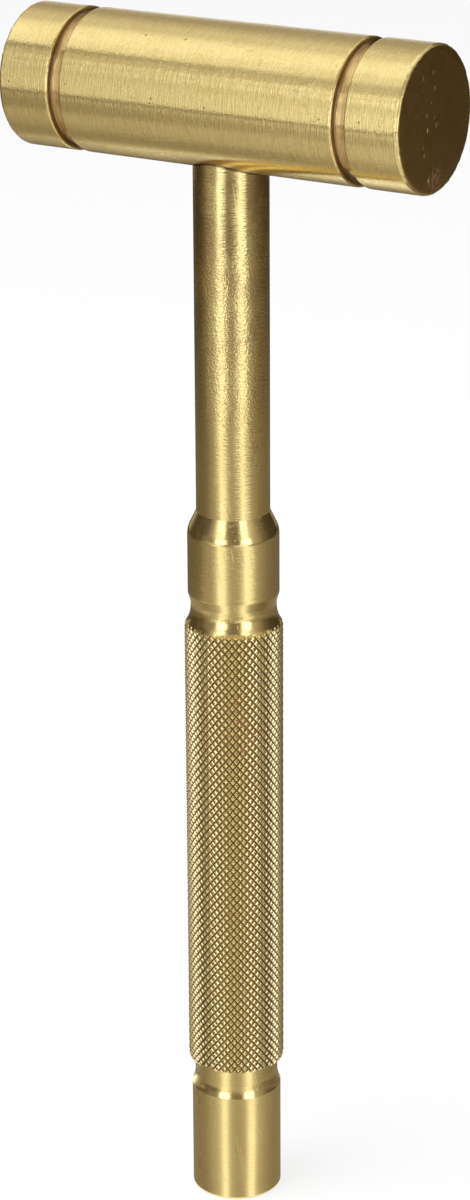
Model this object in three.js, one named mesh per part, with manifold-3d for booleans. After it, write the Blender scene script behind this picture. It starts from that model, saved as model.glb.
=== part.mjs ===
// A turned brass bench hammer: a cylindrical head with two grooves, and a one-piece handle with a
// diamond-knurled grip. The handle's shaft stands in a counterbore in the head's underside, and its
// spigot fills the blind hole above. All lengths are in millimetres. The hammer stands on its
// pommel, with the handle along +Z and the head along X.

import * as THREE from "three";
import { mergeVertices } from "three/addons/utils/BufferGeometryUtils.js";
import Module from "manifold-3d";

// Head
const HEAD_DIAMETER = 28;
const HEAD_LENGTH = 88.5;
const FACE_EDGE_RADIUS = 0.7; // rounding where a striking face meets the side
const FACE_BAND_LENGTH = 11.4; // from a striking face to the near wall of its groove
const GROOVE_WIDTH = 2.7;
const GROOVE_DEPTH = 1.4;
const GROOVE_ROOT_RADIUS = 0.5; // in the two corners of the groove's floor
const GROOVE_EDGE_RADIUS = 0.35; // on the groove's two rims

// Joint between the head and the handle
const SEAT_DEPTH = 4; // from the head's lowest line up to the shaft's seat
const SPIGOT_DIAMETER = 12;
const SPIGOT_LENGTH = 13;
const SPIGOT_CHAMFER = 1;
const RELIEF_DEPTH = 0.9; // undercut at the root of the spigot
const RELIEF_WIDTH = 1.6;
const FIT_GAP = 0.25; // all round the shaft and the spigot
const HOLE_END_ROOM = 1.5; // past the end of the spigot
const DRILL_POINT_ANGLE = THREE.MathUtils.degToRad(118);

// Handle, from the pommel up
const POMMEL_DIAMETER = 18.6;
const POMMEL_LENGTH = 23.9;
const POMMEL_EDGE_RADIUS = 0.45;
const NECK_DIAMETER = 17.3;
const NECK_FLARE_RADIUS = 6.5; // of the sweep from a neck out to the pommel or the grip
const LOWER_NECK_LENGTH = 3.5;
const UPPER_NECK_LENGTH = 1.1;
const GRIP_DIAMETER = 20; // over the points of the knurl
const GRIP_LENGTH = 96.8;
const GRIP_BEVEL_DEPTH = 0.25; // at the grip's lower end
const GRIP_BEVEL_LENGTH = 1;
const COLLAR_DIAMETER = 18.4;
const COLLAR_LENGTH = 13.3;
const COLLAR_TAPER_LENGTH = 1.9; // from the upper neck out to the collar
const COLLAR_EDGE_RADIUS = 1;
const SHOULDER_LENGTH = 3.8; // cone from the collar in to the shaft
const SHAFT_DIAMETER = 14.75;
const SHAFT_LENGTH = 72.8; // from the cone to the seat in the head

// Diamond knurl
const KNURL_COUNT = 28; // grooves of each hand, counted round the grip
const KNURL_ANGLE = THREE.MathUtils.degToRad(40); // between a groove and the handle's axis
const KNURL_DEPTH = 0.5;
const KNURL_STOCK = 0.3; // the turned blank stands this much over the knurl's points

// Facets
const HEAD_SEGMENTS = 60;
const HANDLE_SEGMENTS = 56;
const FACET_LENGTH = 0.6; // along the arc of a rounded corner
const FLARE_STEPS = 3;

const headRadius = HEAD_DIAMETER / 2;
const gripRadius = GRIP_DIAMETER / 2;
const neckRadius = NECK_DIAMETER / 2;
const pommelRadius = POMMEL_DIAMETER / 2;
const collarRadius = COLLAR_DIAMETER / 2;
const shaftRadius = SHAFT_DIAMETER / 2;
const spigotRadius = SPIGOT_DIAMETER / 2;

// How far a flare runs along the axis while it opens from the neck to a radius.
function flareRun(radius) {
  const rise = radius - neckRadius;
  return Math.sqrt(2 * NECK_FLARE_RADIUS * rise - rise * rise);
}

// Heights on the handle, from the flat end of the pommel
const lowerNeckBottom = POMMEL_LENGTH + flareRun(pommelRadius);
const gripBottom = lowerNeckBottom + LOWER_NECK_LENGTH;
const gripTop = gripBottom + GRIP_LENGTH;
const upperNeckBottom = gripTop + flareRun(gripRadius);
const upperNeckTop = upperNeckBottom + UPPER_NECK_LENGTH;
const collarBottom = upperNeckTop + COLLAR_TAPER_LENGTH;
const collarTop = collarBottom + COLLAR_LENGTH;
const shaftBottom = collarTop + SHOULDER_LENGTH;
const seatHeight = shaftBottom + SHAFT_LENGTH;
const spigotTop = seatHeight + SPIGOT_LENGTH;
const headAxisHeight = seatHeight - SEAT_DEPTH + headRadius;

const wasm = await Module();
wasm.setup();

// One corner of a turned profile: its radius, its height along the axis, and its rounding.
function corner(radius, height, rounding = 0) {
  return { at: new THREE.Vector2(radius, height), rounding };
}

// The points of a turned profile, with each rounded corner drawn as an arc.
function profilePoints(corners) {
  const points = [];
  corners.forEach(({ at, rounding }, i) => {
    if (rounding === 0) {
      points.push(at);
      return;
    }
    const toLast = corners[i - 1].at.clone().sub(at).normalize();
    const toNext = corners[i + 1].at.clone().sub(at).normalize();
    const halfAngle = Math.acos(toLast.dot(toNext)) / 2;
    const centre = toLast.clone().add(toNext).normalize();
    centre.multiplyScalar(rounding / Math.sin(halfAngle)).add(at);
    const tangent = rounding / Math.tan(halfAngle);
    const start = at.clone().addScaledVector(toLast, tangent).sub(centre);
    const end = at.clone().addScaledVector(toNext, tangent).sub(centre);
    const turn = Math.atan2(start.cross(end), start.dot(end));
    const steps = Math.max(1, Math.round((Math.abs(turn) * rounding) / FACET_LENGTH));
    for (let step = 0; step <= steps; step += 1) {
      const angle = (turn * step) / steps;
      points.push(start.clone().rotateAround(new THREE.Vector2(), angle).add(centre));
    }
  });
  return points;
}

// Corners along a flare, from the neck at neckHeight towards the radius that it opens to.
function flareCorners(radius, neckHeight, direction) {
  const sweep = Math.asin(flareRun(radius) / NECK_FLARE_RADIUS);
  const corners = [];
  for (let step = 0; step <= FLARE_STEPS; step += 1) {
    const angle = (sweep * step) / FLARE_STEPS;
    const rise = NECK_FLARE_RADIUS * (1 - Math.cos(angle));
    const run = NECK_FLARE_RADIUS * Math.sin(angle);
    corners.push(corner(neckRadius + rise, neckHeight + direction * run));
  }
  return corners;
}

// A closed geometry as a solid that can be cut.
function solidFrom(geometry) {
  const bare = geometry.clone();
  bare.deleteAttribute("normal");
  bare.deleteAttribute("uv");
  const merged = mergeVertices(bare);
  const vertProperties = merged.attributes.position.array;
  const triVerts = new Uint32Array(merged.index.array);
  return new wasm.Manifold(new wasm.Mesh({ numProp: 3, vertProperties, triVerts }));
}

// A solid as a geometry that a mesh can show.
function geometryFrom(solid) {
  const { vertProperties, triVerts } = solid.getMesh();
  const geometry = new THREE.BufferGeometry();
  geometry.setAttribute("position", new THREE.Float32BufferAttribute(vertProperties, 3));
  geometry.setIndex(new THREE.BufferAttribute(triVerts, 1));
  const faceted = geometry.toNonIndexed();
  faceted.computeVertexNormals();
  return faceted;
}

// A solid of revolution about Z, from corners that run up the outside from axis to axis.
function turned(corners, segments) {
  const geometry = new THREE.LatheGeometry(profilePoints(corners), segments);
  geometry.rotateX(Math.PI / 2);
  return geometry;
}

// The outline of one groove on the bar that the head is turned from, up its axis.
function grooveCorners(middle) {
  const floor = headRadius - GROOVE_DEPTH;
  const low = middle - GROOVE_WIDTH / 2;
  const high = middle + GROOVE_WIDTH / 2;
  return [
    corner(headRadius, low, GROOVE_EDGE_RADIUS),
    corner(floor, low, GROOVE_ROOT_RADIUS),
    corner(floor, high, GROOVE_ROOT_RADIUS),
    corner(headRadius, high, GROOVE_EDGE_RADIUS),
  ];
}

// The stepped blind hole that takes the shaft and the spigot, drilled up from the underside.
function socketCutter() {
  const seat = SEAT_DEPTH - headRadius;
  const boreRadius = spigotRadius + FIT_GAP;
  const boreTop = seat + SPIGOT_LENGTH + HOLE_END_ROOM;
  const pointTop = boreTop + boreRadius / Math.tan(DRILL_POINT_ANGLE / 2);
  const start = -HEAD_DIAMETER;
  const corners = [
    corner(0, start),
    corner(shaftRadius + FIT_GAP, start),
    corner(shaftRadius + FIT_GAP, seat),
    corner(boreRadius, seat),
    corner(boreRadius, boreTop),
    corner(0, pointTop),
  ];
  return solidFrom(turned(corners, HANDLE_SEGMENTS));
}

// The head: a bar with two rounded grooves, turned on its own axis and laid along X.
function makeHead() {
  const half = HEAD_LENGTH / 2;
  const grooveMiddle = half - FACE_BAND_LENGTH - GROOVE_WIDTH / 2;
  const corners = [
    corner(0, -half),
    corner(headRadius, -half, FACE_EDGE_RADIUS),
    ...grooveCorners(-grooveMiddle),
    ...grooveCorners(grooveMiddle),
    corner(headRadius, half, FACE_EDGE_RADIUS),
    corner(0, half),
  ];
  const bar = turned(corners, HEAD_SEGMENTS);
  bar.rotateY(Math.PI / 2);
  return geometryFrom(solidFrom(bar).subtract(socketCutter()));
}

// The sleeve that leaves the knurl standing: its bore holds two crossing sets of helical grooves.
// The grooves cross where row and column are both odd or both even, and points stand between.
function knurlCutter() {
  const columns = 2 * KNURL_COUNT;
  const rowPitch = (Math.PI * gripRadius) / KNURL_COUNT / Math.tan(KNURL_ANGLE);
  const start = gripBottom - LOWER_NECK_LENGTH / 2;
  const end = upperNeckBottom + UPPER_NECK_LENGTH / 2;
  const rows = Math.ceil((end - start) / rowPitch);
  const outerRadius = gripRadius + 2 * KNURL_STOCK;
  const rings = [];
  for (let row = 0; row <= rows; row += 1) {
    const height = start + row * rowPitch;
    const radiusAt = (column) => ((row + column) % 2 === 0 ? gripRadius - KNURL_DEPTH : gripRadius);
    rings.push({ height, radiusAt });
  }
  rings.push({ height: start + rows * rowPitch, radiusAt: () => outerRadius });
  rings.push({ height: start, radiusAt: () => outerRadius });

  const positions = [];
  rings.forEach(({ height, radiusAt }) => {
    for (let column = 0; column < columns; column += 1) {
      const angle = (2 * Math.PI * column) / columns;
      const radius = radiusAt(column);
      positions.push(radius * Math.cos(angle), radius * Math.sin(angle), height);
    }
  });

  const triangles = [];
  for (let ring = 0; ring < rings.length; ring += 1) {
    for (let column = 0; column < columns; column += 1) {
      const above = (ring + 1) % rings.length;
      const next = (column + 1) % columns;
      const a = ring * columns + column;
      const b = ring * columns + next;
      const c = above * columns + next;
      const d = above * columns + column;
      // Each cell folds along the groove, which joins its two crossings.
      if ((ring + column) % 2 === 0) {
        triangles.push(a, c, b, a, d, c);
      } else {
        triangles.push(a, d, b, b, d, c);
      }
    }
  }
  const geometry = new THREE.BufferGeometry();
  geometry.setAttribute("position", new THREE.Float32BufferAttribute(positions, 3));
  geometry.setIndex(triangles);
  return solidFrom(geometry);
}

// The handle: one bar, turned to its outline with the grip left oversize, then knurled.
function makeHandle() {
  const blankRadius = gripRadius + KNURL_STOCK;
  const bevelSlope = GRIP_BEVEL_LENGTH / GRIP_BEVEL_DEPTH;
  const reliefRadius = spigotRadius - RELIEF_DEPTH;
  const corners = [
    corner(0, 0),
    corner(pommelRadius, 0, POMMEL_EDGE_RADIUS),
    ...flareCorners(pommelRadius, lowerNeckBottom, -1).reverse(),
    corner(neckRadius, gripBottom),
    corner(gripRadius - GRIP_BEVEL_DEPTH, gripBottom),
    corner(blankRadius, gripBottom + (GRIP_BEVEL_DEPTH + KNURL_STOCK) * bevelSlope),
    ...flareCorners(blankRadius, upperNeckBottom, -1).reverse(),
    corner(neckRadius, upperNeckTop),
    corner(collarRadius, collarBottom),
    corner(collarRadius, collarTop, COLLAR_EDGE_RADIUS),
    corner(shaftRadius, shaftBottom),
    corner(shaftRadius, seatHeight),
    corner(reliefRadius, seatHeight),
    corner(reliefRadius, seatHeight + RELIEF_WIDTH - RELIEF_DEPTH),
    corner(spigotRadius, seatHeight + RELIEF_WIDTH),
    corner(spigotRadius, spigotTop - SPIGOT_CHAMFER),
    corner(spigotRadius - SPIGOT_CHAMFER, spigotTop),
    corner(0, spigotTop),
  ];
  const blank = solidFrom(turned(corners, HANDLE_SEGMENTS));
  return geometryFrom(blank.subtract(knurlCutter()));
}

// One finished piece, as a named mesh in its own brass.
function piece(name, geometry, colour, roughness) {
  const material = new THREE.MeshStandardMaterial({ color: colour, roughness, metalness: 1 });
  material.name = name + "_brass";
  const mesh = new THREE.Mesh(geometry, material);
  mesh.name = name;
  return mesh;
}

const handle = piece("handle", makeHandle(), 0xb0975a, 0.34);
const head = piece("hammer_head", makeHead(), 0xd2b468, 0.3);
head.position.z = headAxisHeight;

const hammer = new THREE.Group();
hammer.add(handle, head);

export default hammer;
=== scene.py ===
import math

import bpy
from mathutils import Matrix, Vector


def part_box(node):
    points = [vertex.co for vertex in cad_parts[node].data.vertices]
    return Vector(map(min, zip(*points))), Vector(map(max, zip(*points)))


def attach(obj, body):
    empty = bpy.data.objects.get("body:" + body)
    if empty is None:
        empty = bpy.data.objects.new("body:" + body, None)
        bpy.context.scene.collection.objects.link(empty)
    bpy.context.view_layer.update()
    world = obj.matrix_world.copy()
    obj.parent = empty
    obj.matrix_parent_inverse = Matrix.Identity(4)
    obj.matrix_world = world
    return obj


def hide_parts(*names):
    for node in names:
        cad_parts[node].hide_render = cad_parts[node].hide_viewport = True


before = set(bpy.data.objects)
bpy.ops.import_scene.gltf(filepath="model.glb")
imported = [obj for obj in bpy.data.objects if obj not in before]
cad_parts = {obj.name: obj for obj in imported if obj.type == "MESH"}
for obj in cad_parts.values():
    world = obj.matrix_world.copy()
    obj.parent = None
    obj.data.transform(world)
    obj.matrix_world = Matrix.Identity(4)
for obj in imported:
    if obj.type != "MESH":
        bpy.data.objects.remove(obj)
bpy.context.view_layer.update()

# Camera
# A long lens on the side of the head's +X face, a little above the handle, as in the photograph.

CAMERA_TURN = math.radians(32.23)
CAMERA_RISE = math.radians(20.22)
CAMERA_LEAN = math.radians(-0.34)
CAMERA_DISTANCE = 0.65438
AIM_HEIGHT = 0.13189
AIM_ASIDE = 0.00026
LENS_MM = 97.92

level_turn = Matrix.Rotation(CAMERA_TURN, 3, "Z") @ Matrix.Rotation(math.pi / 2 - CAMERA_RISE, 3, "X")
bpy.ops.object.camera_add()
camera = bpy.context.object
camera.location = Vector((0, 0, AIM_HEIGHT)) + level_turn @ Vector((AIM_ASIDE, 0, CAMERA_DISTANCE))
camera.rotation_euler = (level_turn @ Matrix.Rotation(CAMERA_LEAN, 3, "Z")).to_euler()
camera.data.lens = LENS_MM
bpy.context.scene.camera = camera
bpy.context.scene.view_settings.view_transform = "Standard"

# Floor and white room
# A plain white floor that runs on into a white room. It keeps the hammer's soft shadow.

FLOOR_SIDE = 12.0
FLOOR_COLOUR = (0.85, 0.85, 0.85, 1)
FLOOR_SHADE = 0.25
ROOM_LIGHT = 0.8


def add_node(tree, kind, inputs, **settings):
    """Adds a node with its settings. Each input is a number, a colour or another node's output."""
    node = tree.nodes.new(kind)
    for name, value in settings.items():
        setattr(node, name, value)
    for socket, value in inputs.items():
        if isinstance(value, bpy.types.NodeSocket):
            tree.links.new(value, node.inputs[socket])
        else:
            node.inputs[socket].default_value = value
    return node


def maths(tree, operation, first, second=0.0, third=0.0):
    """One sum on two or three numbers, each a number or an output."""
    return add_node(tree, "ShaderNodeMath", {0: first, 1: second, 2: third}, operation=operation).outputs[0]


def seen_or_mirrored(tree):
    """1 where the eye sees a surface, or sees it in metal or through glass, and 0 where it only lights."""
    path = add_node(tree, "ShaderNodeLightPath", {}).outputs
    either = maths(tree, "MAXIMUM", path["Is Camera Ray"], path["Is Glossy Ray"])
    return maths(tree, "MAXIMUM", either, path["Is Transmission Ray"])


bpy.ops.object.select_all(action="DESELECT")
bpy.ops.mesh.primitive_plane_add(size=FLOOR_SIDE)
floor = bpy.context.object
floor.name = "floor"
floor_white = bpy.data.materials.new("floor_white")
floor_white.use_nodes = True
floor_white.cycles.emission_sampling = "NONE"
tree = floor_white.node_tree
tree.nodes.clear()
matt = add_node(tree, "ShaderNodeBsdfDiffuse", {"Color": FLOOR_COLOUR})
glow = add_node(tree, "ShaderNodeEmission", {"Strength": 1.0})
share = maths(tree, "MULTIPLY", seen_or_mirrored(tree), 1 - FLOOR_SHADE)
surface = add_node(tree, "ShaderNodeMixShader", {0: share, 1: matt.outputs[0], 2: glow.outputs[0]})
add_node(tree, "ShaderNodeOutputMaterial", {"Surface": surface.outputs[0]})
floor.data.materials.append(floor_white)

room = bpy.data.worlds.new("room")
room.use_nodes = True
room.cycles.sampling_method = "NONE"
tree = room.node_tree
tree.nodes.clear()
white = add_node(tree, "ShaderNodeBackground", {"Color": (1, 1, 1, 1), "Strength": 1.0})
soft = add_node(tree, "ShaderNodeBackground", {"Color": (1, 1, 1, 1), "Strength": ROOM_LIGHT})
sky = add_node(
    tree, "ShaderNodeMixShader", {0: seen_or_mirrored(tree), 1: soft.outputs[0], 2: white.outputs[0]}
)
add_node(tree, "ShaderNodeOutputWorld", {"Surface": sky.outputs[0]})
bpy.context.scene.world = room

# Lamp
# One large soft lamp overhead, which casts the hammer's shadow on the floor.

LAMP_PLACE = (-0.3, -0.4, 1.2)
LAMP_AIM = (0, 0, 0.1)
LAMP_SIZE = 0.8
LAMP_POWER = 12

bpy.ops.object.light_add(type="AREA", location=LAMP_PLACE)
lamp = bpy.context.object
lamp.name = "soft_lamp"
lamp.data.shape = "DISK"
lamp.data.size = LAMP_SIZE
lamp.data.energy = LAMP_POWER
lamp.rotation_euler = (Vector(LAMP_PLACE) - Vector(LAMP_AIM)).to_track_quat("Z", "Y").to_euler()
lamp.visible_glossy = False

# Reflector cards
# Glowing cards round the hammer and over it, out of the picture, which shape what the brass mirrors:
# their glow is painted light. Each is a ring round the handle's axis, from one (radius, height) to
# another, and shaded round it: a tone for each turn in degrees, 0 towards the camera. Two white
# strips flank the camera.

CARD_STEPS = 90
CARD_LIFT = 0.0005
# A tone is raised to these powers for red, green and blue, which makes the dark ones warmer
TINT_POWERS = (1.0, 1.09, 1.22)
# Near the foot a turn is widened by the pommel's radius over the reach, to this power
POMMEL_REACH = 0.0093
WIDENING_POWER = 1.6
CARDS = (
    ("card_foot", (0.0092, CARD_LIFT), (0.06, CARD_LIFT), (
        (-180, 0.25), (-115, 0.25), (-92, 0.27), (-80, 0.32), (-69, 0.39), (-57, 0.46), (-48, 0.55),
        (-40, 0.78), (-34, 1.08), (-26, 1.03), (-18, 0.6), (-11, 0.47), (0, 0.4), (11, 0.42), (21, 0.5),
        (29, 0.83), (34, 1.08), (44, 1.08), (51, 0.7), (57, 0.52), (69, 0.41), (80, 0.35), (92, 0.3),
        (115, 0.25), (180, 0.25),
    )),
    ("card_grip", (0.06, CARD_LIFT), (0.16, CARD_LIFT), (
        (-180, 1.2), (-140, 1.2), (-125, 0.4), (-105, 0.2), (-80, 0.3), (-60, 0.41), (-46, 0.6), (-36, 1.1),
        (-26, 1.1), (-11, 0.48), (0, 0.42), (11, 0.48), (23, 0.9), (28, 1.1), (36, 1.1), (46, 0.55),
        (57, 0.35), (80, 0.2), (105, 0.15), (150, 0.2), (170, 0.8), (180, 1.2),
    )),
    ("card_near", (0.16, CARD_LIFT), (0.345, CARD_LIFT), (
        (-180, 0.3), (-125, 0.3), (-105, 0.3), (-80, 0.48), (-60, 0.41), (-46, 0.6), (-36, 1.1),
        (-26, 1.1), (-11, 0.48), (0, 0.42), (11, 0.48), (23, 0.9), (28, 1.1), (36, 1.1), (46, 0.55),
        (57, 0.35), (80, 0.22), (105, 0.2), (180, 0.3),
    )),
    ("card_collar", (0.345, CARD_LIFT), (0.44, CARD_LIFT), (
        (-180, 0.14), (-115, 0.14), (-92, 0.16), (-80, 0.25), (-69, 0.31), (-57, 0.34), (-48, 0.47),
        (-42, 0.7), (-37, 1.1), (-24, 1.15), (-18, 0.88), (-11, 0.55), (0, 0.39), (11, 0.38), (18, 0.42),
        (24, 0.58), (31, 1.2), (46, 1.25), (52, 0.9), (58, 0.55), (64, 0.42), (69, 0.37), (80, 0.29),
        (92, 0.22), (115, 0.17), (180, 0.15),
    )),
    ("card_middle", (0.44, CARD_LIFT), (0.58, CARD_LIFT), (
        (-180, 0.15), (-115, 0.16), (-103, 0.17), (-92, 0.19), (-80, 0.22), (-69, 0.3), (-57, 0.39),
        (-48, 0.5), (-42, 0.75), (-37, 1.2), (-28, 1.25), (-22, 0.98), (-17, 0.68), (-11, 0.47), (0, 0.38),
        (7, 0.34), (14, 0.4), (21, 0.7), (26, 1.2), (34, 1.3), (40, 0.87), (46, 0.59), (57, 0.4),
        (69, 0.33), (80, 0.27), (92, 0.23), (115, 0.19), (180, 0.16),
    )),
    ("card_far", (0.58, CARD_LIFT), (0.77, CARD_LIFT), (
        (-180, 0.1), (-115, 0.1), (-92, 0.15), (-80, 0.22), (-69, 0.3), (-59, 0.46),
        (-54, 0.8), (-49, 1.2), (-44, 1.4), (-38, 1.15), (-34, 0.6), (-29, 0.3), (-16, 0.24), (-5, 0.4),
        (1, 0.55), (5, 0.85), (9, 1.3), (14, 1.5), (23, 1.4), (27, 0.8), (31, 0.36), (40, 0.2), (57, 0.2),
        (69, 0.2), (80, 0.19), (92, 0.17), (115, 0.13), (180, 0.1),
    )),
    ("card_farther", (0.77, CARD_LIFT), (0.89, CARD_LIFT), (
        (-180, 0.07), (-115, 0.08), (-103, 0.11), (-92, 0.13), (-80, 0.15), (-69, 0.17), (-57, 0.2),
        (-50, 0.22), (-45, 0.34), (-41, 0.8), (-38, 1.35), (-33, 1.3), (-30, 0.6), (-26, 0.27), (-16, 0.17),
        (0, 0.34), (8, 0.52), (13, 0.8), (17, 1.15), (21, 1.5), (29, 1.5), (32, 0.8), (36, 0.36), (41, 0.2),
        (57, 0.19), (69, 0.18), (80, 0.17), (92, 0.15), (115, 0.12), (180, 0.08),
    )),
    ("card_beyond", (0.89, CARD_LIFT), (1.0, CARD_LIFT), (
        (-180, 0.04), (-115, 0.05), (-92, 0.08), (-80, 0.13), (-69, 0.14), (-57, 0.12), (-50, 0.14),
        (-44, 0.2), (-40, 0.6), (-37, 1.3), (-33, 1.2), (-30, 0.4), (-26, 0.18), (-18, 0.14), (-9, 0.24),
        (3, 0.3), (10, 0.22), (17, 0.24), (23, 0.4), (28, 1.2), (38, 1.3), (43, 0.8), (49, 0.36), (57, 0.16),
        (69, 0.09), (80, 0.06), (92, 0.05), (115, 0.03), (180, 0.03),
    )),
    ("card_wall_low", (1.0, CARD_LIFT), (1.0, 0.42), (
        (-180, 1.1), (-160, 0.55), (-130, 0.08), (-107, 0.08), (-92, 0.18), (-75, 0.54), (-60, 0.68),
        (-47, 0.75), (-40, 2.1), (-26, 2.1), (-13, 0.3), (0, 0.2), (15, 0.25), (26, 2.1), (40, 2.1),
        (47, 0.5), (59, 0.38), (81, 0.15), (103, 0.07), (140, 0.05), (160, 0.5), (180, 1.1),
    )),
    ("card_wall_neck", (1.0, 0.42), (1.0, 0.54), (
        (-180, 0.4), (-150, 0.3), (-120, 0.05), (-107, 0.06), (-95, 0.09), (-83, 0.2), (-71, 0.48),
        (-59, 0.85), (-50, 0.9), (-43, 0.95), (-39, 1.4), (-27, 1.4), (-22, 0.75), (-17, 0.35), (-8, 0.24),
        (0, 0.19), (8, 0.22), (14, 0.35), (20, 0.8), (24, 1.4), (37, 1.4), (41, 0.9), (46, 0.6), (59, 0.38),
        (71, 0.25), (83, 0.14), (95, 0.08), (107, 0.06), (150, 0.05), (170, 0.3), (180, 0.4),
    )),
    ("card_wall_middle", (1.0, 0.54), (1.0, 0.66), (
        (-180, 0.4), (-150, 0.3), (-125, 0.4), (-114, 1.25), (-96, 1.25), (-88, 0.4), (-80, 0.24), (-72, 0.4),
        (-66, 0.7), (-59, 1.0), (-50, 1.0), (-43, 1.0), (-27, 1.2), (-22, 0.7), (-16, 0.3), (0, 0.19),
        (14, 0.3), (20, 0.7), (24, 1.2), (37, 1.2), (41, 0.8), (46, 0.6), (59, 0.42), (71, 0.27), (80, 0.2),
        (88, 0.4), (96, 1.25), (114, 1.25), (125, 0.4), (150, 0.15), (180, 0.4),
    )),
    ("card_wall_high", (1.0, 0.66), (1.0, 0.8), (
        (-180, 0.4), (-150, 0.3), (-110, 0.2), (-92, 0.18), (-80, 0.22), (-73, 0.26), (-66, 0.62),
        (-60, 0.95), (-46, 1.7), (-39, 2.2), (-27, 2.2), (-22, 0.8), (-16, 0.22), (0, 0.12), (14, 0.2),
        (20, 0.9), (24, 2.0), (37, 2.0), (41, 1.2), (46, 0.7), (60, 0.5), (80, 0.35), (103, 0.2),
        (150, 0.1), (170, 0.33), (180, 0.4),
    )),
    ("card_wall_top", (1.0, 0.8), (1.0, 0.93), (
        (-180, 0.33), (-150, 0.33), (-120, 0.2), (-100, 0.2), (-85, 0.28), (-77, 0.42), (-71, 1.0),
        (-64, 1.5), (-50, 1.5), (-42, 1.0), (-30, 0.6), (-15, 0.5), (15, 0.5), (30, 0.7), (46, 0.7),
        (60, 0.6), (80, 0.45), (103, 0.2), (150, 0.1), (170, 0.33), (180, 0.33),
    )),
    ("card_dome", (1.0, 0.93), (0.55, 1.5), (
        (-180, 0.45), (-171, 0.6), (-160, 0.7), (-146, 0.64), (-138, 0.84), (-128, 1.06), (-112, 1.06),
        (-102, 1.02), (-94, 1.2), (-84, 1.05), (-76, 0.85), (-60, 0.7), (-45, 0.45), (0, 0.4), (45, 0.45),
        (70, 0.7), (120, 0.8), (150, 0.5), (180, 0.45),
    )),
    ("card_ceiling", (0.55, 1.5), (0.001, 1.5), ((-180, 1.0), (180, 1.0))),
)
# Two bars that lie along the head, up on its left, each with its size, place, turn and tone. The
# black one draws the fine dark line below the bright band, and the grey one dims the head's left half.
BARS = (
    ("card_bar", (0.6, 0.085), (-0.625, -0.3, 0.7), 31, 0.0),
    ("card_bar_soft", (0.6, 0.3), (-0.685, -0.3, 0.505), 40, 0.35),
)
BAR_TILT = 15


def parts_of(tree, vector):
    """The X, Y and Z of a vector."""
    return add_node(tree, "ShaderNodeSeparateXYZ", {0: vector}).outputs


def shade_card(card, name, tones):
    """Gives a card its tones, which glow as painted light. Only the brass mirrors it: the camera doesn't see
    it, and it casts no shadow.

    The turn is widened near the foot, so that a tone stays on one line of the pommel all the way down.
    """
    card.name = name
    bpy.ops.object.transform_apply(location=True, rotation=True, scale=True)
    paper = bpy.data.materials.new(name)
    paper.use_nodes = True
    paper.cycles.emission_sampling = "NONE"
    tree = paper.node_tree
    tree.nodes.clear()
    place = add_node(tree, "ShaderNodeTexCoord", {})
    turned = add_node(
        tree, "ShaderNodeVectorRotate", {"Vector": place.outputs["Object"], "Angle": CAMERA_TURN},
        rotation_type="Z_AXIS", invert=True,
    )
    aside, ahead = parts_of(tree, turned.outputs[0])[:2]
    turn = maths(tree, "ARCTAN2", aside, maths(tree, "MULTIPLY", ahead, -1.0))
    ahead_squared = maths(tree, "MULTIPLY", ahead, ahead)
    reach = maths(tree, "SQRT", maths(tree, "MULTIPLY_ADD", aside, aside, ahead_squared))
    widening = maths(tree, "POWER", maths(tree, "DIVIDE", POMMEL_REACH, reach), WIDENING_POWER)
    turn = maths(tree, "MULTIPLY_ADD", turn, widening, turn)
    share = add_node(tree, "ShaderNodeMapRange", {"Value": turn, "From Min": -math.pi, "From Max": math.pi})
    ramp = add_node(tree, "ShaderNodeValToRGB", {0: share.outputs[0]})
    for degrees, _ in tones[1:-1]:
        ramp.color_ramp.elements.new((degrees + 180) / 360)
    for stop, (_, tone) in zip(ramp.color_ramp.elements, tones):
        stop.color = (*(tone ** power for power in TINT_POWERS), 1)
    glow = add_node(tree, "ShaderNodeEmission", {"Color": ramp.outputs[0], "Strength": 1.0})
    add_node(tree, "ShaderNodeOutputMaterial", {"Surface": glow.outputs[0]})
    card.data.materials.append(paper)
    card.visible_camera = False
    card.visible_diffuse = False
    card.visible_shadow = False


for name, inner, outer, tones in CARDS:
    bpy.ops.object.select_all(action="DESELECT")
    bpy.ops.mesh.primitive_cone_add(
        vertices=CARD_STEPS, radius1=inner[0], radius2=outer[0], depth=outer[1] - inner[1],
        end_fill_type="NOTHING", location=(0, 0, (inner[1] + outer[1]) / 2),
    )
    shade_card(bpy.context.object, name, tones)
for name, size, place, turn, tone in BARS:
    bpy.ops.object.select_all(action="DESELECT")
    bpy.ops.mesh.primitive_plane_add(
        size=1, location=place, rotation=(math.radians(turn), math.radians(BAR_TILT), 0)
    )
    bpy.context.object.scale = (*size, 1)
    shade_card(bpy.context.object, name, ((-180, tone), (180, tone)))

# Hammer head
# One bar of brass, turned to a round with a groove near each face, then drilled for the handle.
# Its rims are broken with a small radius, and use has left little nicks and burrs on them.

# Sizes from here on are in millimetres
MM = 0.001
HEAD_SIDES = 288
GROOVE_MIDDLE = 31.5
GROOVE_WIDTH = 2.7
GROOVE_DEPTH = 1.4
GROOVE_ROOT = 0.5
GROOVE_ROOT_STEPS = 4
GROOVE_RIM = 0.35
GROOVE_RIM_STEPS = 3
FACE_EDGE = 0.7
FACE_EDGE_STEPS = 5
HOLD = 0.12
FACE_HOLD = 0.3
NICK_DEPTH = 0.07
NICK_LENGTH = 1.1
NICK_SPREAD = 1.3
NICK_CONTRAST = 3.0
SEAT_DEPTH = 4.0
SHAFT_RADIUS = 7.375
SHAFT_GAP = 0.15
SPIGOT_RADIUS = 6.0
SPIGOT_GAP = 0.25
HOLE_DEPTH = 14.5
SOCKET_SIDES = 128
HEAD_SMOOTH_ANGLE = math.radians(30)
# A middle this close to a place is at it. A direction with less than ACROSS of itself along an axis
# runs across it, and one with more than FACING faces along it.
CLOSE = 0.01
ACROSS = 0.1
FACING = 0.9

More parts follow.
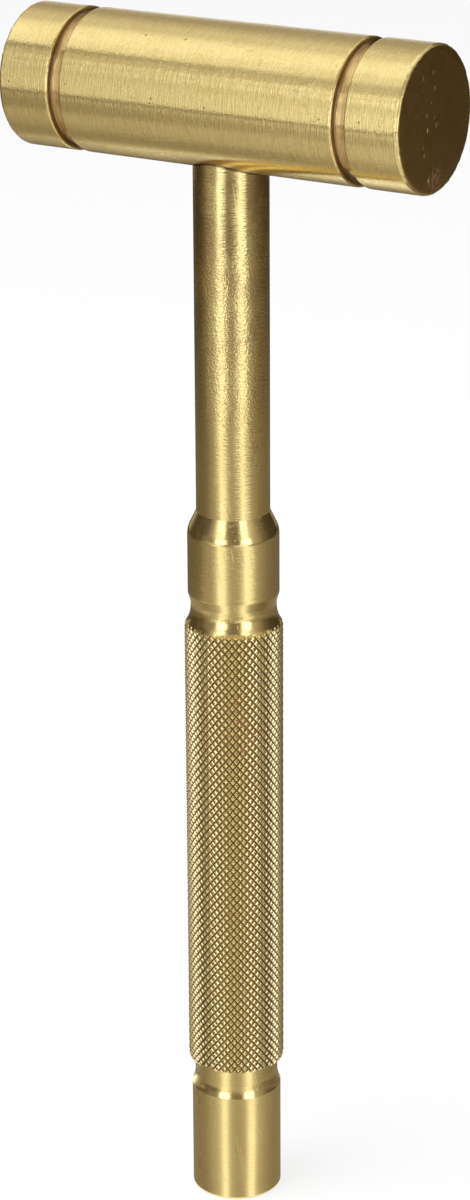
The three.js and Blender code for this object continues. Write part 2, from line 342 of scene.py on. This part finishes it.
head_low, head_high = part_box("hammer_head")
head_radius = (head_high.z - head_low.z) / 2 / MM
head_length = (head_high.x - head_low.x) / MM
head_height = (head_high.z + head_low.z) / 2 / MM
seat_height = head_low.z / MM + SEAT_DEPTH


def pick(piece, kind, wanted):
    """Selects, in edit mode, the faces or edges that wanted says, by their middle and direction."""
    bpy.ops.object.mode_set(mode="EDIT")
    bpy.ops.mesh.select_mode(type=kind)
    bpy.ops.mesh.select_all(action="DESELECT")
    bpy.ops.object.mode_set(mode="OBJECT")
    mesh = piece.data
    if kind == "FACE":
        for face in mesh.polygons:
            face.select = wanted(face.center / MM, face.normal)
    else:
        for edge in mesh.edges:
            first, second = (mesh.vertices[i].co for i in edge.vertices)
            edge.select = wanted((first + second) / 2 / MM, (second - first).normalized())
    bpy.ops.object.mode_set(mode="EDIT")


def cut_away(piece, tool):
    """Cuts a tool's shape out of a piece, and clears the tool away."""
    bpy.ops.object.select_all(action="DESELECT")
    piece.select_set(True)
    bpy.context.view_layer.objects.active = piece
    cut = piece.modifiers.new("cut", "BOOLEAN")
    cut.operation = "DIFFERENCE"
    cut.solver = "EXACT"
    cut.object = tool
    bpy.ops.object.modifier_apply(modifier="cut")
    bpy.data.objects.remove(tool)


def from_head_axis(point):
    """How far a point is from the head's axis."""
    return math.hypot(point.y, point.z - head_height)


def round_rim(place, radius, rounding, steps):
    """Rounds the sharp ring edge of the head at a place along it and a radius."""
    pick(head, "EDGE", lambda middle, way: (
        abs(middle.x - place) < CLOSE and abs(way.x) < ACROSS
        and abs(from_head_axis(middle) - radius) < 2 * CLOSE
    ))
    bpy.ops.mesh.bevel(offset=rounding * MM, segments=steps, affect="EDGES")


bpy.ops.object.select_all(action="DESELECT")
bpy.ops.mesh.primitive_cylinder_add(
    vertices=HEAD_SIDES, radius=head_radius * MM, depth=head_length * MM,
    location=(0, 0, head_height * MM), rotation=(0, math.pi / 2, 0),
)
head = bpy.context.object
head.name = "brass_head"
bpy.ops.object.transform_apply(location=True, rotation=True, scale=True)

# Rings of edges at the grooves' walls, and one beside each rounded rim that holds the flat next to it
walls = [side * GROOVE_MIDDLE + step * GROOVE_WIDTH / 2 for side in (-1, 1) for step in (-1, 1)]
band = GROOVE_WIDTH / 2 + GROOVE_RIM + HOLD
holds = [side * (GROOVE_MIDDLE + step * band) for side in (-1, 1) for step in (-1, 1)]
holds += [side * (head_length / 2 - FACE_EDGE - HOLD) for side in (-1, 1)]
bpy.ops.object.mode_set(mode="EDIT")
for wall in walls + holds:
    bpy.ops.mesh.select_all(action="SELECT")
    bpy.ops.mesh.bisect(plane_co=(wall * MM, 0, 0), plane_no=(1, 0, 0))
pick(head, "FACE", lambda middle, normal: abs(abs(middle.x) - GROOVE_MIDDLE) < GROOVE_WIDTH / 4)
bpy.ops.mesh.extrude_region_move()
shrink = 1 - GROOVE_DEPTH / head_radius
bpy.ops.transform.resize(value=(1, shrink, shrink), center_override=(0, 0, head_height * MM))
for wall in walls:
    round_rim(wall, head_radius - GROOVE_DEPTH, GROOVE_ROOT, GROOVE_ROOT_STEPS)
    round_rim(wall, head_radius, GROOVE_RIM, GROOVE_RIM_STEPS)
for face in (-head_length / 2, head_length / 2):
    round_rim(face, head_radius, FACE_EDGE, FACE_EDGE_STEPS)
pick(head, "FACE", lambda middle, normal: abs(middle.x) > head_length / 2 - CLOSE)
bpy.ops.mesh.inset(use_individual=True, thickness=FACE_HOLD * MM)
bpy.ops.object.mode_set(mode="OBJECT")

# Nicks and burrs on the rounded rims of the striking faces
on_rims = [
    spot.index for spot in head.data.vertices
    if abs(spot.co.x / MM) > head_length / 2 - FACE_EDGE
    and from_head_axis(spot.co / MM) > head_radius - FACE_EDGE - CLOSE
]
rims = head.vertex_groups.new(name="rims")
rims.add(on_rims, 1, "REPLACE")
dents = bpy.data.textures.new("rim_dents", "CLOUDS")
dents.noise_scale = NICK_LENGTH * MM
dents.intensity = NICK_SPREAD
dents.contrast = NICK_CONTRAST
nicks = head.modifiers.new("nicks", "DISPLACE")
nicks.texture = dents
nicks.texture_coords = "LOCAL"
nicks.vertex_group = "rims"
nicks.mid_level = 1
nicks.strength = NICK_DEPTH * MM
bpy.ops.object.modifier_apply(modifier="nicks")

# The drill: a wide bit for the end of the shaft, and on it a narrower one for the spigot's hole
seat_radius = SHAFT_RADIUS + SHAFT_GAP
hole_radius = SPIGOT_RADIUS + SPIGOT_GAP
bpy.ops.object.select_all(action="DESELECT")
bpy.ops.mesh.primitive_cylinder_add(
    vertices=SOCKET_SIDES, radius=seat_radius * MM, depth=head_radius * MM,
    location=(0, 0, (seat_height - head_radius / 2) * MM),
)
drill = bpy.context.object
bpy.ops.object.transform_apply(location=True, rotation=True, scale=True)
pick(drill, "FACE", lambda middle, normal: normal.z > FACING)
bpy.ops.mesh.inset(thickness=(seat_radius - hole_radius) * MM)
bpy.ops.mesh.extrude_region_move(TRANSFORM_OT_translate={"value": (0, 0, HOLE_DEPTH * MM)})
bpy.ops.object.mode_set(mode="OBJECT")
cut_away(head, drill)
bpy.ops.object.shade_smooth_by_angle(angle=HEAD_SMOOTH_ANGLE)
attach(head, "root")
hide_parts("hammer_head")

# Brass of the head
# Turned and brushed round its own axis, then used: fine rings, short brush ticks, pits and stains,
# painted shade round the handle and in the grooves' corners, dents on the striking faces that are
# lightened as painted glints, and a coppery rub on the near one.


def new_group(name, inputs, outputs):
    """A node group with those sockets, each name with its kind. Returns it with its two ends."""
    group = bpy.data.node_groups.new(name, "ShaderNodeTree")
    for socket, kind in inputs.items():
        group.interface.new_socket(socket, in_out="INPUT", socket_type="NodeSocket" + kind)
    for socket, kind in outputs.items():
        group.interface.new_socket(socket, in_out="OUTPUT", socket_type="NodeSocket" + kind)
    start = group.nodes.new("NodeGroupInput")
    end = group.nodes.new("NodeGroupOutput")
    return group, start.outputs, end.inputs


def fade(tree, value, start, end):
    """0 where a value is at or past start, and 1 where it is at or past end."""
    return add_node(
        tree, "ShaderNodeMapRange", {"Value": value, "From Min": start, "From Max": end},
        interpolation_type="SMOOTHSTEP",
    ).outputs[0]


def fade_back(tree, value, place, steps):
    """A fade from one step back from a place to another. A step below 0 lies past the place."""
    return fade(tree, value, place - steps[0], place - steps[1])


def total(tree, *terms):
    """The sum of some values, each times its weight."""
    result = 0.0
    for value, weight in terms:
        result = maths(tree, "MULTIPLY_ADD", value, weight, result)
    return result


def product(tree, first, *others):
    """The product of some values."""
    for other in others:
        first = maths(tree, "MULTIPLY", first, other)
    return first


def painted(tree, colour, *coats):
    """A colour under coats of others, each with its mask, its strength and its colour."""
    for mask, strength, coat in coats:
        share = product(tree, mask, strength)
        colour = add_node(
            tree, "ShaderNodeMix", {0: share, 6: colour, 7: coat}, data_type="RGBA", clamp_factor=True
        ).outputs[2]
    return colour


def apart(tree, value, place):
    """How far a value is from a place on its scale."""
    return maths(tree, "ABSOLUTE", maths(tree, "SUBTRACT", value, place))


def vector_maths(tree, operation, first, second=(0, 0, 0)):
    """One sum on two vectors. LENGTH and DISTANCE give a number, and the others a vector."""
    outputs = add_node(tree, "ShaderNodeVectorMath", {0: first, 1: second}, operation=operation).outputs
    return outputs["Value" if operation in ("LENGTH", "DISTANCE") else "Vector"]


def from_axis(tree, position, plane):
    """How far a position is from the axis square to a plane, which is given as (1, 1, 0) or the like."""
    return vector_maths(tree, "LENGTH", vector_maths(tree, "MULTIPLY", position, plane))


def noise(tree, position, scales, detail=2.0, roughness=0.5):
    """Noise on a position in millimetres, with so many waves in a millimetre along each direction."""
    spread = vector_maths(tree, "MULTIPLY", position, scales)
    return add_node(
        tree, "ShaderNodeTexNoise",
        {"Vector": spread, "Scale": 1.0, "Detail": detail, "Roughness": roughness},
    ).outputs[0]


def spots(tree, position, scales, channel, reach, odds):
    """Round spots strewn over a position, so many in a millimetre along each direction.

    Reach fades a spot from its edge to its middle, and odds thin the spots out by a channel of their colour.
    """
    spread = vector_maths(tree, "MULTIPLY", position, scales)
    strewn = add_node(tree, "ShaderNodeTexVoronoi", {"Vector": spread, "Scale": 1.0}).outputs
    chance = add_node(tree, "ShaderNodeSeparateColor", {0: strewn["Color"]}).outputs[channel]
    return product(tree, fade(tree, strewn["Distance"], *reach), fade(tree, chance, *odds))


# Marks of the lathe and the brush, round the axis that the position's X runs along
lathe_marks, given, made = new_group(
    "lathe_marks", {"Position": "Vector"},
    {"Along": "Float", "Radius": "Float", "Rings": "Float", "Ticks": "Float", "Grain": "Float"},
)
along = parts_of(lathe_marks, given["Position"])[0]
radius = from_axis(lathe_marks, given["Position"], (0, 1, 1))
profile = add_node(lathe_marks, "ShaderNodeCombineXYZ", {0: along, 1: radius})
for socket, value in {
    "Along": along,
    "Radius": radius,
    "Rings": noise(lathe_marks, profile.outputs[0], (4.5, 4.5, 0), 3, 0.7),
    "Ticks": noise(lathe_marks, given["Position"], (3.2, 0.35, 0.35), 2, 0.6),
    "Grain": noise(lathe_marks, given["Position"], (2.4, 2.0, 2.0), 2, 0.6),
}.items():
    lathe_marks.links.new(value, made[socket])

# Marks of use: long slanting scratches, small pits, brown stains and a light tarnish in clouds
SCRATCH_SLANT = (0.2, 0.1, 0.12)
use_marks, given, made = new_group(
    "use_marks", {"Position": "Vector"},
    {"Scratches": "Float", "Pits": "Float", "Stains": "Float", "Clouds": "Float"},
)
slanted = add_node(
    use_marks, "ShaderNodeVectorRotate", {"Vector": given["Position"], "Rotation": SCRATCH_SLANT},
    rotation_type="EULER_XYZ",
).outputs[0]
specks = noise(use_marks, given["Position"], (0.5, 0.8, 0.8), 4, 0.65)
patches = noise(use_marks, given["Position"], (0.06, 0.09, 0.09), 1)
for socket, value in {
    "Scratches": fade(use_marks, noise(use_marks, slanted, (0.06, 3.0, 3.0), 1), 0.7, 0.76),
    "Pits": spots(use_marks, given["Position"], (0.5, 0.5, 0.5), "Green", (0.12, 0.04), (0.92, 0.97)),
    "Stains": fade(use_marks, total(use_marks, (specks, 0.7), (patches, 0.6)), 0.79, 0.92),
    "Clouds": noise(use_marks, given["Position"], (0.13, 0.2, 0.2), 3, 0.6),
}.items():
    use_marks.links.new(value, made[socket])

# How far the brushing's streaks are turned from the tangent, in whole turns
QUARTER_TURN = 0.25


def new_brass(name, brushing, axis, turn, shift):
    """A brass brushed round an axis of the object. Turn and shift lay the place's X along that axis.

    Returns it, its node tree, and its places, directions and marks by name.
    """
    material = bpy.data.materials.new(name)
    material.use_nodes = True
    tree = material.node_tree
    shader = tree.nodes["Principled BSDF"]
    shader.inputs["Metallic"].default_value = 1
    shader.inputs["Anisotropic"].default_value = brushing
    shader.inputs["Anisotropic Rotation"].default_value = QUARTER_TURN
    place = add_node(tree, "ShaderNodeTexCoord", {})
    laid = add_node(
        tree, "ShaderNodeMapping",
        {"Vector": place.outputs["Object"], "Location": shift, "Rotation": turn, "Scale": (1 / MM,) * 3},
    )
    round_axis = add_node(tree, "ShaderNodeTangent", {}, direction_type="RADIAL", axis=axis)
    marks = {"Place": laid.outputs[0], "Normal": place.outputs["Normal"], "Tangent": round_axis.outputs[0]}
    for group in (lathe_marks, use_marks):
        node = add_node(tree, "ShaderNodeGroup", {}, node_tree=group)
        tree.links.new(laid.outputs[0], node.inputs[0])
        marks.update(node.outputs.items())
    return material, tree, marks


def finish_brass(tree, colour, roughness, height, tangent):
    """Gives a brass its colour, roughness and brushing, and its relief, whose height is in millimetres."""
    shader = tree.nodes["Principled BSDF"]
    bump = add_node(tree, "ShaderNodeBump", {"Distance": MM, "Height": height})
    tree.links.new(colour, shader.inputs["Base Color"])
    tree.links.new(roughness, shader.inputs["Roughness"])
    tree.links.new(bump.outputs[0], shader.inputs["Normal"])
    tree.links.new(tangent, shader.inputs["Tangent"])


BRASS = (1.0, 0.82, 0.37, 1)
BRASS_DEEP = (0.92, 0.70, 0.27, 1)
COPPERY = (0.80, 0.55, 0.24, 1)
STAIN = (0.60, 0.34, 0.18, 1)
# Brown for painted shade: on the head's underside round the handle, and on the shaft below the head
SHADE_BROWN = (0.52, 0.36, 0.17, 1)
# Dark brown, for dirt in the pits, and for painted shade in the grooves' corners and where the shaft meets
# the head
DIRT_AND_SHADE = (0.20, 0.12, 0.06, 1)
FACE_TARNISH = (0.62, 0.40, 0.11, 1)
WORN = (1.0, 0.64, 0.48, 1)
# Light brass for the dents on the faces, a painted glint
DING_GLINT = (1.0, 0.85, 0.6, 1)
HEAD_BRUSHING = 0.97
FACE_BRUSHING = (0, 1, 0)
# Where each mask starts and is full: back from a face, the head's surface or a groove's wall
FACE_SKIN = (0.2, 0.02)
GROOVE_SKIN = (0.2, 0.6)
GROOVE_LIMIT = (3, 4)
CORNER_REACH = (0.7, 0.15)
# Places on the head, across it and above its middle, and how far their marks reach
MOUTH_REACH = 14
MOUTH_HEIGHT = (-9, -10.5)
WORN_SPOT = (0.4, -11.3)
WORN_REACH = (3.6, 0.8)
DING_LINES = (-0.6, 2.4)
DING_REACH = (1.0, 0.4)
DING_STRAY = 6.0

head_brass, tree, marks = new_brass("head_brass", HEAD_BRUSHING, "X", (0, 0, 0), (0, 0, -head_height))
place = marks["Place"]
_, across, above = parts_of(tree, place)
off_middle = maths(tree, "ABSOLUTE", marks["Along"])
end_face = fade_back(tree, off_middle, head_length / 2, FACE_SKIN)
tarnish = product(tree, end_face, total(tree, (marks["Clouds"], 0.6), (0.5, 1.0)))
in_groove = product(
    tree, fade_back(tree, marks["Radius"], head_radius, GROOVE_SKIN),
    fade_back(tree, off_middle, head_length / 2, GROOVE_LIMIT),
)
off_groove = apart(tree, off_middle, GROOVE_MIDDLE)
# Painted shade in the corners at the foot of each groove's walls
corner_shade = product(tree, in_groove, fade_back(tree, off_groove, GROOVE_WIDTH / 2, CORNER_REACH))
# Painted shade on the head's underside round the handle
mouth_shade = product(
    tree, fade(tree, from_axis(tree, place, (1, 1, 0)), MOUTH_REACH, SHAFT_RADIUS),
    fade(tree, above, *MOUTH_HEIGHT),
)
# Dents on the striking faces: real dents in the relief, and a lighter colour in them that is a painted glint
strayed = total(tree, (across, 1.0), (noise(tree, place, (0.1, 0, 0.25), 1), DING_STRAY))
lines = total(tree, *((fade(tree, apart(tree, strayed, line), *DING_REACH), 1.0) for line in DING_LINES))
dings_and_glints = product(
    tree, end_face, spots(tree, place, (0.8, 1.1, 0.6), "Red", (0.4, 0.15), (0.45, 0.55)), lines
)
from_worn = vector_maths(tree, "DISTANCE", place, (head_length / 2, *WORN_SPOT))
worn = product(
    tree, fade(tree, from_worn, *WORN_REACH), end_face,
    fade(tree, noise(tree, place, (1, 0.9, 0.5), 3, 0.7), 0.42, 0.6),
)
texture = total(tree, (marks["Ticks"], 2.4), (marks["Grain"], 2.0), (marks["Clouds"], 0.9), (-2.2, 1.0))
colour = painted(
    tree, BRASS, (texture, 1.0, BRASS_DEEP), (tarnish, 1.0, FACE_TARNISH), (in_groove, 0.85, COPPERY),
    (corner_shade, 0.7, DIRT_AND_SHADE), (mouth_shade, 0.8, SHADE_BROWN), (marks["Stains"], 0.55, STAIN), (marks["Pits"], 0.8, DIRT_AND_SHADE),
    (worn, 0.6, WORN), (dings_and_glints, 0.55, DING_GLINT),
)
roughness = total(
    tree, (marks["Clouds"], 0.08), (marks["Stains"], 0.1), (worn, 0.34), (dings_and_glints, 0.4), (0.17, 1.0)
)
height = total(
    tree, (marks["Rings"], 0.025), (marks["Ticks"], 0.04), (marks["Grain"], 0.02), (marks["Pits"], -0.1),
    (marks["Scratches"], -0.02), (dings_and_glints, -0.2), (worn, 0.05),
)
brushed = add_node(
    tree, "ShaderNodeMix", {0: end_face, 4: marks["Tangent"], 5: FACE_BRUSHING}, data_type="VECTOR"
).outputs[1]
finish_brass(tree, colour, roughness, height, brushed)
head.data.materials.append(head_brass)

# Handle
# One bar of brass, turned from the pommel up to the shaft and the spigot that goes into the head.
# The grip is left oversize, and a knurling tool then rolls it down to two crossing sets of grooves.

HANDLE_SIDES = 256
POMMEL_RADIUS = 9.3
POMMEL_LENGTH = 23.9
POMMEL_EDGE = 0.45
POMMEL_EDGE_STEPS = 4
NECK_RADIUS = 8.65
NECK_FLARE = 6.5
FLARE_STEPS = 8
GRIP_RADIUS = 10.0
GRIP_BOTTOM = 30.233
GRIP_LENGTH = 96.8
UPPER_NECK_LENGTH = 1.1
COLLAR_RADIUS = 9.2
COLLAR_TAPER = 1.9
TAPER_RINGS = (0.07, 0.93, 1)
COLLAR_LENGTH = 13.3
COLLAR_EDGE = 1.0
COLLAR_EDGE_STEPS = 5
SHOULDER = 3.8
SPIGOT_LENGTH = 13.0
SPIGOT_CHAMFER = 1.0
# Each as a depth and a length along the handle
GRIP_BEVEL = (0.25, 1.0)
RELIEF = (0.9, 1.6)
KNURL_STARTS = 42
KNURL_ANGLE = math.radians(40)
KNURL_DEPTH = 0.5
KNURL_STOCK = 0.3


def flare_run(radius):
    """How far a flare runs along the handle while it opens from the neck to a radius."""
    rise = radius - NECK_RADIUS
    return math.sqrt(2 * NECK_FLARE * rise - rise * rise)


def flare(radius, neck_height, way):
    """The rings of a flare, from the neck out to a radius, up or down the handle."""
    sweep = math.asin(flare_run(radius) / NECK_FLARE)
    turns = [sweep * step / FLARE_STEPS for step in range(FLARE_STEPS + 1)]
    return [
        (NECK_RADIUS + NECK_FLARE * (1 - math.cos(turn)), neck_height + way * NECK_FLARE * math.sin(turn))
        for turn in turns
    ]


grip_top = GRIP_BOTTOM + GRIP_LENGTH
upper_neck = grip_top + flare_run(GRIP_RADIUS)
collar_bottom = upper_neck + UPPER_NECK_LENGTH + COLLAR_TAPER
collar_top = collar_bottom + COLLAR_LENGTH
blank_radius = GRIP_RADIUS + KNURL_STOCK
bevel_slope = GRIP_BEVEL[1] / GRIP_BEVEL[0]
relief_radius = SPIGOT_RADIUS - RELIEF[0]
spigot_top = seat_height + SPIGOT_LENGTH
# The handle's rings as (radius, height), from the top edge of the pommel's cylinder up
rings = [
    *flare(POMMEL_RADIUS, POMMEL_LENGTH + flare_run(POMMEL_RADIUS), -1)[::-1],
    (NECK_RADIUS, GRIP_BOTTOM),
    (GRIP_RADIUS - GRIP_BEVEL[0], GRIP_BOTTOM),
    (blank_radius, GRIP_BOTTOM + (GRIP_BEVEL[0] + KNURL_STOCK) * bevel_slope),
    *flare(blank_radius, upper_neck, -1)[::-1],
    (NECK_RADIUS, upper_neck + UPPER_NECK_LENGTH),
    *((NECK_RADIUS + share * (COLLAR_RADIUS - NECK_RADIUS), collar_bottom - (1 - share) * COLLAR_TAPER)
      for share in TAPER_RINGS),
    (COLLAR_RADIUS, collar_bottom + HOLD),
    (COLLAR_RADIUS, collar_top - COLLAR_EDGE - HOLD),
    (COLLAR_RADIUS, collar_top),
    (SHAFT_RADIUS, collar_top + SHOULDER),
    (SHAFT_RADIUS, seat_height),
    (relief_radius, seat_height),
    (relief_radius, seat_height + RELIEF[1] - RELIEF[0]),
    (SPIGOT_RADIUS, seat_height + RELIEF[1]),
    (SPIGOT_RADIUS, spigot_top - SPIGOT_CHAMFER),
    (SPIGOT_RADIUS - SPIGOT_CHAMFER, spigot_top),
]

bpy.ops.object.select_all(action="DESELECT")
bpy.ops.mesh.primitive_cylinder_add(
    vertices=HANDLE_SIDES, radius=POMMEL_RADIUS * MM, depth=POMMEL_LENGTH * MM,
    location=(0, 0, POMMEL_LENGTH * MM / 2),
)
handle = bpy.context.object
handle.name = "brass_handle"
bpy.ops.object.transform_apply(location=True, rotation=True, scale=True)
bpy.ops.object.mode_set(mode="EDIT")
bpy.ops.mesh.select_all(action="SELECT")
bpy.ops.mesh.bisect(plane_co=(0, 0, (POMMEL_EDGE + HOLD) * MM), plane_no=(0, 0, 1))
pick(handle, "FACE", lambda middle, normal: normal.z > FACING)
last_radius, last_height = POMMEL_RADIUS, POMMEL_LENGTH
for ring_radius, ring_height in rings[1:]:
    rise = (ring_height - last_height) * MM
    bpy.ops.mesh.extrude_region_move(TRANSFORM_OT_translate={"value": (0, 0, rise)})
    growth = ring_radius / last_radius
    bpy.ops.transform.resize(value=(growth, growth, 1), center_override=(0, 0, 0))
    last_radius, last_height = ring_radius, ring_height
for edge_height, rounding, steps in (
    (0, POMMEL_EDGE, POMMEL_EDGE_STEPS), (collar_top, COLLAR_EDGE, COLLAR_EDGE_STEPS)
):
    pick(handle, "EDGE", lambda middle, way: (
        abs(middle.z - edge_height) < CLOSE and abs(way.z) < ACROSS
    ))
    bpy.ops.mesh.bevel(offset=rounding * MM, segments=steps, affect="EDGES")
bpy.ops.object.mode_set(mode="OBJECT")

# Knurling tool
# A sheet of diamonds rolled into a sleeve. Its bore has a pit for each of the grip's diamonds, with
# a narrow land along each groove's root, a steep flank, a flatter shoulder and a low point on top.

ROOT_LAND = 0.03
# Each as a run and a rise
FLANK = (0.2, 0.28)
SHOULDER_SLOPE = (0.17, 0.14)
SLEEVE_WALL = 1.5
SLEEVE_OVERHANG = 1.7
KNURL_SMOOTH_ANGLE = math.radians(22)
# Corners this close are one, and an edge this near to level or upright is a side of the sheet's cells
SEAM = 0.001
STRAIGHT = 1e-4

root_radius = GRIP_RADIUS - KNURL_DEPTH
row_pitch = 2 * math.pi * GRIP_RADIUS / KNURL_STARTS / math.tan(KNURL_ANGLE)
sleeve_bottom = GRIP_BOTTOM - SLEEVE_OVERHANG
knurl_rows = math.ceil((upper_neck + UPPER_NECK_LENGTH / 2 - sleeve_bottom) / row_pitch)
bpy.ops.object.select_all(action="DESELECT")
bpy.ops.mesh.primitive_grid_add(x_subdivisions=KNURL_STARTS, y_subdivisions=knurl_rows, size=1)
sleeve = bpy.context.object
sleeve.scale = (2 * math.pi * root_radius * MM, knurl_rows * row_pitch * MM, 1)
sleeve.rotation_euler = (math.pi / 2, 0, 0)
bpy.ops.object.transform_apply(location=True, rotation=True, scale=True)
roll = sleeve.modifiers.new("roll", "SIMPLE_DEFORM")
roll.deform_method = "BEND"
roll.deform_axis = "Z"
roll.angle = 2 * math.pi
bpy.ops.object.modifier_apply(modifier="roll")
bpy.ops.object.mode_set(mode="EDIT")
bpy.ops.mesh.select_all(action="SELECT")
bpy.ops.transform.translate(value=(0, -root_radius * MM, (sleeve_bottom + knurl_rows * row_pitch / 2) * MM))
bpy.ops.mesh.remove_doubles(threshold=SEAM * MM)
bpy.ops.mesh.normals_make_consistent(inside=False)

# Each cell is cut along its diagonals and loses its sides, which leaves diamonds, and each of those
# becomes a pit. Then a wall behind them closes the sleeve.
bpy.ops.mesh.poke()
pick(sleeve, "EDGE", lambda middle, way: abs(way.z) < STRAIGHT or abs(way.z) > 1 - STRAIGHT)
bpy.ops.mesh.dissolve_edges(use_verts=False)
bpy.ops.mesh.select_mode(type="FACE")
bpy.ops.mesh.select_all(action="SELECT")
bpy.ops.mesh.inset(use_individual=True, thickness=ROOT_LAND * MM)
for run, rise in (FLANK, SHOULDER_SLOPE):
    bpy.ops.mesh.inset(use_individual=True, thickness=run * MM, depth=rise * MM)
bpy.ops.mesh.poke(offset=(KNURL_DEPTH - FLANK[1] - SHOULDER_SLOPE[1]) * MM)
bpy.ops.mesh.select_mode(type="EDGE")
bpy.ops.mesh.select_all(action="DESELECT")
bpy.ops.mesh.select_non_manifold(
    extend=False, use_wire=False, use_boundary=True, use_multi_face=False, use_non_contiguous=False,
    use_verts=False,
)
bpy.ops.mesh.extrude_edges_move()
outward = 1 + SLEEVE_WALL / root_radius
bpy.ops.transform.resize(value=(outward, outward, 1), center_override=(0, 0, 0))
bpy.ops.mesh.bridge_edge_loops()
bpy.ops.mesh.select_all(action="SELECT")
bpy.ops.mesh.normals_make_consistent(inside=False)
bpy.ops.object.mode_set(mode="OBJECT")
cut_away(handle, sleeve)
bpy.ops.object.shade_smooth_by_angle(angle=KNURL_SMOOTH_ANGLE)
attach(handle, "root")
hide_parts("handle")

# Brass of the handle
# The same bar stock, brushed less. The knurl's roots are darkened by dirt and by painted shade, a brown
# patina that is partly painted shade lies on the front of the cone and the flares, and the shaft is grainy
# at its middle and browner towards the head in patches of painted shade, with a ring of painted shade
# where it meets the head.

GRIP_BRASS = (0.94, 0.78, 0.42, 1)
# Dark brown in the knurl's roots: dirt, and painted shade in the recesses
KNURL_DIRT_AND_SHADE = (0.19, 0.14, 0.06, 1)
# Brown for a patina on the front of the cone and the flares, partly painted shade
PATINA_SHADE = (0.38, 0.28, 0.12, 1)
HANDLE_BRUSHING = 0.3
# Fades in millimetres, back from the grip's ends and from the roots of its grooves
GRIP_START = (0.1, -0.4)
GRIP_END = (-0.4, 0.4)
KNURL_ROOT_SKIN = (-0.19, -0.04)
# Turns in radians from the front, and how far a face with the patina and painted shade looks up
PATINA_SHADE_TURN = -0.08
PATINA_SHADE_REACH = (0.31, 0.12)
PATINA_SHADE_RISE = (0.08, 0.2)
# Heights and reaches in millimetres
# How far the painted shade reaches from the head's surface
SEAT_SHADE_REACH = 0.35
BROWN_FROM_COLLAR = 15
BROWN_TO_SEAT = 10
GRANULAR_MIDDLE = 188.0
GRANULAR_REACH = 27.0

handle_brass, tree, marks = new_brass(
    "handle_brass", HANDLE_BRUSHING, "Z", (0, math.pi / 2, 0), (0, 0, 0)
)
place, along = marks["Place"], marks["Along"]
_, behind, left = parts_of(tree, place)
upward = parts_of(tree, marks["Normal"])[2]
on_grip = product(
    tree, fade_back(tree, along, GRIP_BOTTOM, GRIP_START), fade_back(tree, along, grip_top, GRIP_END)
)
# The knurl's roots darken: dirt, and painted shade in the recesses
in_knurl = product(tree, on_grip, fade_back(tree, marks["Radius"], root_radius, KNURL_ROOT_SKIN))
granular = fade(tree, apart(tree, along, GRANULAR_MIDDLE), GRANULAR_REACH, GRANULAR_REACH / 3)
# A brown patina on faces that look up near the front, partly painted shade
aside, ahead = (maths(tree, "MULTIPLY", part, -1.0) for part in (left, behind))
off_turn = apart(tree, maths(tree, "ARCTAN2", aside, ahead), PATINA_SHADE_TURN)
patina_shade = product(tree, fade(tree, off_turn, *PATINA_SHADE_REACH), fade(tree, upward, *PATINA_SHADE_RISE))
# Painted shade of the head above: the shaft turns browner towards the head, in cloudy patches
under_head_shade = product(
    tree, fade(tree, along, collar_top + BROWN_FROM_COLLAR, seat_height - BROWN_TO_SEAT),
    fade(tree, marks["Clouds"], 0.38, 0.62),
)
# Painted shade in a thin ring on the shaft where it meets the head
off_head = from_axis(tree, vector_maths(tree, "SUBTRACT", place, (head_height, 0, 0)), (1, 1, 0))
seat_shade = fade(tree, off_head, head_radius + SEAT_SHADE_REACH, head_radius + SEAT_SHADE_REACH / 2)
texture = total(tree, (marks["Ticks"], 1.2), (marks["Grain"], 1.4), (marks["Clouds"], 0.9), (-1.3, 1.0))
colour = painted(
    tree, BRASS, (texture, 1.0, BRASS_DEEP), (patina_shade, 1.0, PATINA_SHADE), (under_head_shade, 0.5, SHADE_BROWN),
    (on_grip, 1.0, GRIP_BRASS), (in_knurl, 0.9, KNURL_DIRT_AND_SHADE), (seat_shade, 0.9, DIRT_AND_SHADE),
    (marks["Stains"], 0.6, STAIN), (marks["Pits"], 0.8, DIRT_AND_SHADE),
)
roughness = total(
    tree, (marks["Clouds"], 0.07), (marks["Stains"], 0.1), (in_knurl, 0.1), (0.09, 1.0)
)
coarse = product(tree, marks["Grain"], total(tree, (granular, 0.075), (0.008, 1.0)))
height = total(
    tree, (marks["Rings"], 0.006), (marks["Ticks"], 0.018), (coarse, 1.0), (marks["Pits"], -0.06),
    (marks["Scratches"], -0.01),
)
finish_brass(tree, colour, roughness, height, marks["Tangent"])
handle.data.materials.append(handle_brass)
